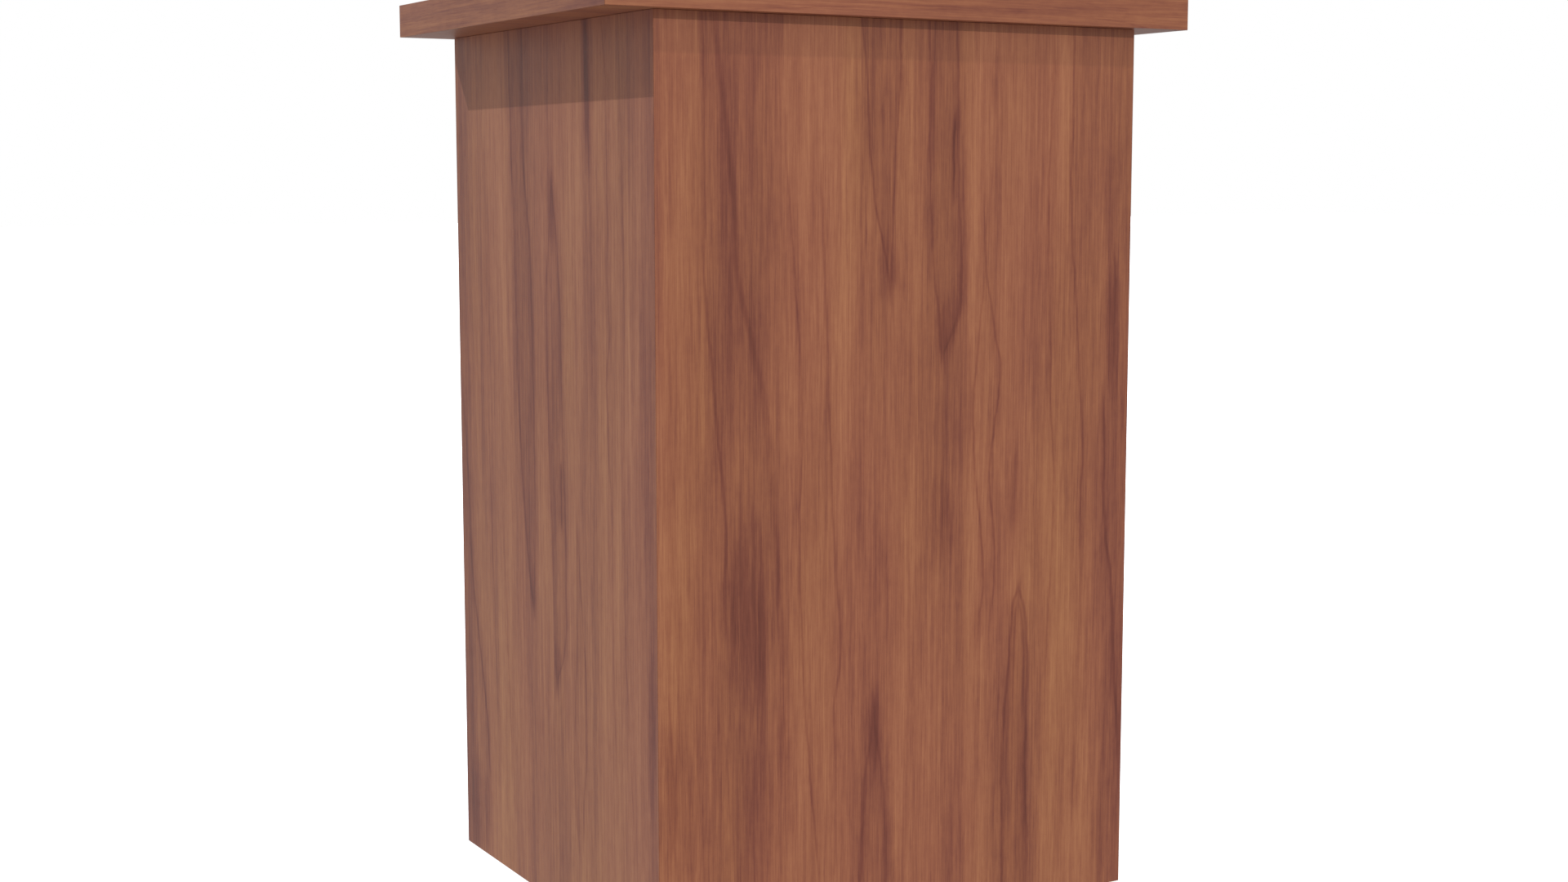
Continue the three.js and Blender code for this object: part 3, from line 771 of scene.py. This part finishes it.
def ease(bm, radius, segments=2):
    """Rounds the sharp edges of a closed mesh."""
    sharp = [edge for edge in bm.edges if edge.is_manifold and edge.calc_face_angle() > SHARP]
    bmesh.ops.bevel(bm, geom=sharp, offset=radius, segments=segments, profile=0.5, affect="EDGES",
                    clamp_overlap=True, loop_slide=True)


def eased_board(node, material, radius=0.3 * MM):
    """A board as its CAD node has it, holes and mitres too, with its arrises eased."""
    bm = bmesh.new()
    bm.from_mesh(NODES[node].data)
    bmesh.ops.remove_doubles(bm, verts=bm.verts, dist=WELD / 2)
    bmesh.ops.dissolve_limit(bm, angle_limit=FLAT, verts=bm.verts, edges=bm.edges)
    ease(bm, radius)
    piece = object_from(bm, f"{node}_finished", material, smooth_degrees=180)
    weigh_normals(piece)
    stand_for(piece, node)


def combined(operation, solid, others):
    """One clean solid, made by a boolean operation of the first solid with each of the others."""
    whole, *tools = (object_from(bm, "temporary") for bm in (solid, *others))
    for tool in tools:
        modifier = whole.modifiers.new("combine", "BOOLEAN")
        modifier.operation = operation
        modifier.solver = "EXACT"
        modifier.object = tool
    made = bmesh.new()
    made.from_mesh(whole.evaluated_get(bpy.context.evaluated_depsgraph_get()).to_mesh())
    for piece in (whole, *tools):
        bpy.data.objects.remove(piece)
    bmesh.ops.remove_doubles(made, verts=made.verts, dist=WELD)
    bmesh.ops.dissolve_degenerate(made, edges=made.edges, dist=WELD)
    return made


def cut(solid, *cutters):
    return combined("DIFFERENCE", solid, cutters)


def together(solid, *others):
    return combined("UNION", solid, others)


def moved(bm, matrix):
    bmesh.ops.transform(bm, matrix=matrix, verts=bm.verts)
    return bm


# ---------- Shapes, whose sizes are given in millimetres ----------
ROUND_STEPS = 3  # in the arc of a rounded corner
THREAD_DEPTH = 0.6  # of its pitch
THREAD_CREST = (0.36, 0.55)  # where the crest starts and ends, as shares of the pitch
THREAD_END = 0.91  # where the thread is back at its root
ROD_CHAMFER = 0.5


def eased_box(xs, ys, zs, radius=0.0):
    """A box between two levels on each axis, its edges rounded by that radius."""
    bm = bmesh.new()
    bmesh.ops.create_cube(bm, size=MM)
    size = [high - low for low, high in (xs, ys, zs)]
    middle = [(high + low) / 2 * MM for low, high in (xs, ys, zs)]
    moved(bm, Matrix.Translation(middle) @ Matrix.Diagonal((*size, 1)))
    if radius:
        ease(bm, radius * MM)
    return bm


def rounded(profile, radius):
    """The same profile with its corners rounded."""
    points = [Vector(point) for point in profile]
    made = [points[0]]
    for before, corner, after in zip(points, points[1:], points[2:]):
        back, on = before - corner, after - corner
        reach = min(radius, 0.45 * back.length, 0.45 * on.length)
        start, end = corner + back.normalized() * reach, corner + on.normalized() * reach
        for step in range(ROUND_STEPS + 1):
            share = step / ROUND_STEPS
            made.append(start.lerp(corner, share).lerp(corner.lerp(end, share), share))
    return [*made, points[-1]]


def ring_of(bm, radius, height, segments, start=0):
    """The points of a level circle, or its middle alone if it has no size."""
    level = height * MM
    if radius < 1e-6:
        return [bm.verts.new((0, 0, level))]
    reach = radius * MM
    angles = [math.tau * i / segments for i in range(start, segments)]
    return [bm.verts.new((reach * math.cos(a), reach * math.sin(a), level)) for a in angles]


def bridge(bm, lower, upper, segments):
    """The faces between two rings, of which either may be a single point."""
    for i in range(segments):
        j = i + 1
        low_side = [lower[i % len(lower)], lower[j % len(lower)]]
        high_side = [upper[j % len(upper)], upper[i % len(upper)]]
        bm.faces.new(dict.fromkeys(low_side + high_side))


def turned(profile, segments=40):
    """A turned solid that stands along +Z, from its profile of (radius, height). A profile that ends where
    it started makes a ring."""
    closed = tuple(profile[0]) == tuple(profile[-1])
    bm = bmesh.new()
    rings = [ring_of(bm, *point, segments) for point in (profile[:-1] if closed else profile)]
    if closed:
        rings.append(rings[0])
    for lower, upper in zip(rings, rings[1:]):
        bridge(bm, lower, upper, segments)
    return bm


def rod(size, low, high, edge=0.0, segments=40):
    """An upright round bar of that diameter, its edges rounded by that radius."""
    profile = [(0, low), (size / 2, low), (size / 2, high), (0, high)]
    return turned(rounded(profile, edge) if edge else profile, segments)


def hexagonal(size, low, high, edge=0.0):
    """An upright hexagonal bar of that size across its corners."""
    bm = rod(size, low, high, segments=6)
    if edge:
        bmesh.ops.dissolve_limit(bm, angle_limit=FLAT, verts=bm.verts, edges=bm.edges)
        ease(bm, edge * MM)
    return bm


def threaded_rod(size, pitch, foot, low, top, segments=24):
    """An upright rod whose screw thread starts at the low level and runs out over a turn at each end."""
    crest = size / 2
    root = crest - THREAD_DEPTH * pitch
    outline = [(0.0, root), *((share, crest) for share in THREAD_CREST), (THREAD_END, root)]
    turns = int((top - 1 - low) / pitch) - 1
    count = turns * segments
    bm = bmesh.new()

    def point(i, share, radius):
        angle = math.tau * i / segments
        out = max(0.0, min(1.0, i / segments, (count - i) / segments))
        reach = (root + (radius - root) * out) * MM
        level = (low + pitch * (i / segments + share)) * MM
        return bm.verts.new((reach * math.cos(angle), reach * math.sin(angle), level))

    columns = [[point(i, *place) for place in outline] for i in range(count + 1)]
    columns += [[point(i, *outline[0])] for i in range(count + 1, count + segments + 1)]
    for i in range(count):
        strip = [*columns[i], columns[i + segments][0]]
        following = [*columns[i + 1], columns[i + 1 + segments][0]]
        for j in range(len(outline)):
            bm.faces.new((strip[j], following[j], following[j + 1], strip[j + 1]))
    # The thread starts and ends in a step of one pitch. A strip of faces levels each end out to a ring.
    step = [*columns[0], columns[segments][0]]
    lower = [step[0], *ring_of(bm, root, low, segments, start=1)]
    for k in range(segments - 1):
        bm.faces.new(dict.fromkeys((lower[k], lower[k + 1], columns[k + 1][0], columns[k][0])))
    bm.faces.new((lower[-1], *step, columns[segments - 1][0]))
    step = [*columns[count], columns[count + segments][0]]
    upper = [step[-1], *ring_of(bm, root, low + pitch * (turns + 1), segments, start=1)]
    chain = [column[0] for column in columns[count:]]
    bm.faces.new((chain[1], upper[1], *reversed(step)))
    for k in range(1, segments):
        bm.faces.new(dict.fromkeys((chain[k], chain[k + 1], upper[(k + 1) % segments], upper[k])))
    bottom = [ring_of(bm, *place, segments) for place in ((0, foot), (root, foot))]
    head = [(root, top - ROD_CHAMFER), (root - ROD_CHAMFER, top), (0, top)]
    head = [ring_of(bm, *place, segments) for place in head]
    for group in ([*bottom, lower], [upper, *head]):
        for one, other in zip(group, group[1:]):
            bridge(bm, one, other, segments)
    return bm


def cross_recess(long, wide, level, deep):
    """Cutters for a screwdriver's recess, which opens downwards from that level."""
    heights = (level - OVERLAP, level + deep)
    along, across = (-long / 2, long / 2), (-wide / 2, wide / 2)
    return [eased_box(along, across, heights), eased_box(across, along, heights)]


# ---------- Boards ----------
FIGURED_DEPTH = 9 * MM  # how far into a board its outer side's figure reaches
# Each veneered board has its grain and the shift of its figure.
VENEERED = {
    "top_board": (LEVEL_GRAIN, (2.3, 3.2, 0.5)),
    "front_panel": (FRONT_GRAIN, (1.3, 0.2, 0.5)),
    "left_side_panel": (SIDE_GRAIN, (4.3, 1.2, 0.5)),
    "right_side_panel": (SIDE_GRAIN, (7.3, 2.2, 0.5)),
    "base_panel": (LEVEL_GRAIN, (5.3, 5.2, 0.5)),
    "book_shelf": (LEVEL_GRAIN, (8.3, 7.2, 2.5)),
    "loose_shelf": (LEVEL_GRAIN, (3.6, 9.2, 4.5)),
    "plinth_rail": (FRONT_EDGE_GRAIN, (1.6, 4.4, 6.5)),
    "rear_top_rail": (FRONT_EDGE_GRAIN, (6.2, 8.1, 3.5)),
}
# Each strip has its tone too.
STRIPS = {
    "top_lipping_front": (FRONT_EDGE_GRAIN, (3.3, 6.2, 0.5), -0.01),
    "top_lipping_rear": (FRONT_EDGE_GRAIN, (4.4, 2.2, 3.5), -0.02),
    "top_lipping_left": (SIDE_EDGE_GRAIN, (6.3, 7.2, 0.5), -0.09),
    "top_lipping_right": (SIDE_EDGE_GRAIN, (1.8, 3.3, 1.5), -0.04),
    "left_edge_band": (FRONT_GRAIN, (8.3, 8.2, 0.5), -0.04),
    "right_edge_band": (FRONT_GRAIN, (2.6, 1.4, 2.5), -0.04),
    "base_edge_band": (FRONT_EDGE_GRAIN, (5.6, 3.4, 1.5), -0.04),
    "book_shelf_edge_band": (FRONT_EDGE_GRAIN, (7.7, 5.4, 4.5), -0.04),
    "loose_shelf_edge_band": (FRONT_EDGE_GRAIN, (9.1, 6.4, 2.5), -0.04),
}
# Each piece of bare softwood has how far its edges are eased.
PINE_PARTS = {
    "front_cleat": (LEVEL_GRAIN, (1, 2, 3), 0.6 * MM),
    "left_cleat": (LEVEL_GRAIN_FROM_FRONT, (4, 1, 2), 0.6 * MM),
    "right_cleat": (LEVEL_GRAIN_FROM_FRONT, (7, 3, 1), 0.6 * MM),
    "left_corner_spline": (FRONT_GRAIN, (2, 5, 1), 0.2 * MM),
    "right_corner_spline": (FRONT_GRAIN, (2, 5, 1), 0.2 * MM),
}


def front_figure():
    low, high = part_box("front_panel")
    levels = (low.y, low.y + FIGURED_DEPTH)
    return face_figure(FRONT_FIGURE, FRONT_BANDS, (high.x - low.x, high.z), (low.x, high.z), 1, levels)


def left_figure():
    low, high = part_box("left_side_panel")
    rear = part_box("left_edge_band")[1].y
    levels = (low.x, low.x + FIGURED_DEPTH)
    return face_figure(LEFT_FIGURE, LEFT_BANDS, (rear - low.y, high.z), (rear, high.z), -1, levels)


def make_boards():
    figures = {"front_panel": front_figure(), "left_side_panel": left_figure()}
    for node, (axes, shift) in VENEERED.items():
        thin_axis = "XYZ".index(axes[-1])
        faces = [corner[thin_axis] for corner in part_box(node)]
        eased_board(node, veneer_material(f"{node}_veneer", axes, shift, faces, figures.get(node)))
    for node, (axes, shift, tone) in STRIPS.items():
        wood = veneer_material(f"{node}_wood", axes, shift, figure=calm_figure, tone=tone)
        eased_board(node, wood)
    for node, (axes, shift, radius) in PINE_PARTS.items():
        eased_board(node, pine_material(f"{node}_wood", axes, shift), radius)


# ---------- Fittings ----------
def stand_on(node, bm, material, place, turn=None):
    """Makes the piece that stands for a fitting, put in its place."""
    moved(bm, Matrix.Translation(place) @ (turn or Matrix.Identity(4)))
    stand_for(object_from(bm, f"{node}_finished", material, SMOOTH_DEGREES), node)


def middle_of(node, level):
    """The point over the middle of a node's plan, at that level."""
    low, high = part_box(node)
    return Vector(((low.x + high.x) / 2, (low.y + high.y) / 2, level))


def make_shelf_pin(side, end, material):
    """A pin in its hole, a collar against the panel, and a ribbed plate that the shelf lies on."""
    node = f"shelf_pin_{end}_{side}"
    low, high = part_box(node)
    sign = SIDES[side]
    inner, outer = sorted((abs(low.x), abs(high.x)))
    tip = (outer - inner) / MM - PIN.plate
    half = PIN.size / 2
    profile = [(0, -PIN.back), (half, -PIN.back), (half, tip - PIN.point),
               (half - PIN.point_in, tip), (0, tip)]
    sideways = Matrix.Rotation(math.pi / 2, 4, "Y")
    pin = moved(turned(rounded(profile, 0.3)), sideways)
    top = PIN.hole / 2
    lowered = Matrix.Translation((0, 0, (top - PIN.collar / 2) * MM))
    collar = moved(rod(PIN.collar, -PIN.collar_thick, 0, 0.4), lowered @ sideways)
    reach = (-PIN.plate, -PIN.collar_thick / 2)
    wide, thick = PIN.wide / 2, PIN.thick
    plate = eased_box(reach, (-wide, wide), (top - thick, top), PIN.edge)
    rib = eased_box(reach, (-thick / 2, thick / 2), (-top, top - thick / 2), PIN.edge)
    place = Vector((sign * (inner + PIN.plate * MM), (low.y + high.y) / 2, high.z - top * MM))
    facing = Matrix.Identity(4) if sign > 0 else Matrix.Rotation(math.pi, 4, "Z")
    stand_on(node, together(pin, collar, plate, rib), material, place, facing)


def make_cam(node, sign, material):
    """A drum with a mouth for the bolt's head in its side and a screwdriver's recess below."""
    body = rod(CAM.size, 0, CAM.high, 0.5, segments=48)
    mouth = rod(CAM.mouth, -BOLT.head_long, CAM.size, segments=24)
    level = Matrix.Translation((0, 0, CAM.mouth_level * MM))
    mouth = moved(mouth, level @ Matrix.Rotation(sign * math.pi / 2, 4, "Y"))
    recess = cross_recess(CAM.slot, CAM.slot_wide, 0, CAM.slot_deep)
    stand_on(node, cut(body, mouth, *recess), material, middle_of(node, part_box(node)[0].z))


def make_cam_bolt(node, sign, material):
    """A thread in the side panel, a collar against it, and a head that the cam draws in."""
    low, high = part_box(node)
    thread, collar, shank, head = BOLT.thread / 2, BOLT.collar / 2, BOLT.shank / 2, BOLT.head / 2
    chamfer, tip = BOLT.chamfer, BOLT.reach
    seat = BOLT.thread_long + 2 * GAP
    collar_end = seat + BOLT.collar_thick
    neck = tip - BOLT.head_long
    profile = [(0, 0), (shank, 0), (thread, chamfer), (thread, seat - GAP), (collar, seat),
               (collar, collar_end), (shank, collar_end), (shank, neck), (head, neck + chamfer),
               (head, tip - chamfer), (shank, tip), (0, tip)]
    place = (high.x if sign > 0 else low.x, (low.y + high.y) / 2, (low.z + high.z) / 2)
    turn = Matrix.Rotation(-sign * math.pi / 2, 4, "Y")
    stand_on(node, turned(rounded(profile, 0.3), 28), material, place, turn)


def make_top_screw(node, material):
    shank = SCREW.shank / 2
    profile = [(0, SCREW.sink), (SCREW.head / 2, SCREW.sink), (shank, SCREW.head_high),
               (shank, SCREW.long - SCREW.point), (0, SCREW.long)]
    recess = cross_recess(SCREW.head / 2, SCREW.slot_wide, SCREW.sink, SCREW.slot_deep)
    bm = cut(turned(rounded(profile, 0.25), 32), *recess)
    stand_on(node, bm, material, middle_of(node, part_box(node)[1].z - SCREW.long * MM))


def make_leveller_pad(node, material, place):
    rim, sole, shoulder = PAD.size / 2, PAD.sole / 2, PAD.shoulder / 2
    neck, socket = PAD.neck / 2, PAD.socket / 2
    floor = PAD.high - PAD.socket_deep
    profile = [(0, 0), (sole, 0), (rim, PAD.rim_low), (rim, PAD.rim_high),
               (shoulder, PAD.shoulder_high), (neck, PAD.high), (socket, PAD.high),
               (socket, floor), (0, floor)]
    stand_on(node, turned(rounded(profile, 0.8), 64), material, place)


def make_leveller_stem(node, material, place):
    """A threaded rod with a hexagon for a spanner, and a socket for a key at its upper end."""
    low, top = STEM.hexagon_from, STEM.top
    high = low + STEM.hexagon_high
    neck = high + STEM.neck
    shank = rod(STEM.size, STEM.foot, neck, 0.3)
    hexagon = hexagonal(STEM.hexagon, low, high, 0.4)
    thread = threaded_rod(STEM.size, STEM.pitch, high - OVERLAP, neck + STEM.run_in, top)
    key = hexagonal(STEM.key, top - STEM.key_deep, top + OVERLAP)
    stand_on(node, cut(together(thread, shank, hexagon), key), material, place)


def make_leveller_nut(node, material, place):
    bore, sleeve, flange = NUT.bore / 2, NUT.sleeve / 2, NUT.flange / 2
    foot, head = (corner.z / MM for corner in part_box(node))
    seat = foot + NUT.flange_thick
    profile = [(bore, foot), (flange, foot), (flange, seat), (sleeve, seat), (sleeve, head),
               (bore, head), (bore, foot)]
    stand_on(node, turned(rounded(profile, 0.25), 48), material, place)


def make_fittings():
    zinc = metal_material("zinc_plate", **ZINC)
    steel = metal_material("bright_steel", **STEEL)
    plastic = plastic_material()
    for side, sign in SIDES.items():
        for end in ENDS:
            make_shelf_pin(side, end, steel)
            place = middle_of(f"leveller_pad_{end}_{side}", 0)
            make_leveller_pad(f"leveller_pad_{end}_{side}", plastic, place)
            make_leveller_stem(f"leveller_stem_{end}_{side}", steel, place)
            make_leveller_nut(f"leveller_nut_{end}_{side}", zinc, place)
            for board in ("base", "book_shelf"):
                make_cam(f"{board}_cam_{end}_{side}", sign, zinc)
                make_cam_bolt(f"{board}_cam_bolt_{end}_{side}", sign, steel)
    for node in NODES:
        if node.startswith("top_screw_"):
            make_top_screw(node, zinc)


# ---------- Everything ----------
make_stage()
GROUPS = {
    "flow": flow_group(), "growth_line": line_group(), "common_figure": common_figure_group(),
    "veneer": veneer_group(), "chipboard": chipboard_group(),
}
make_boards()
make_fittings()
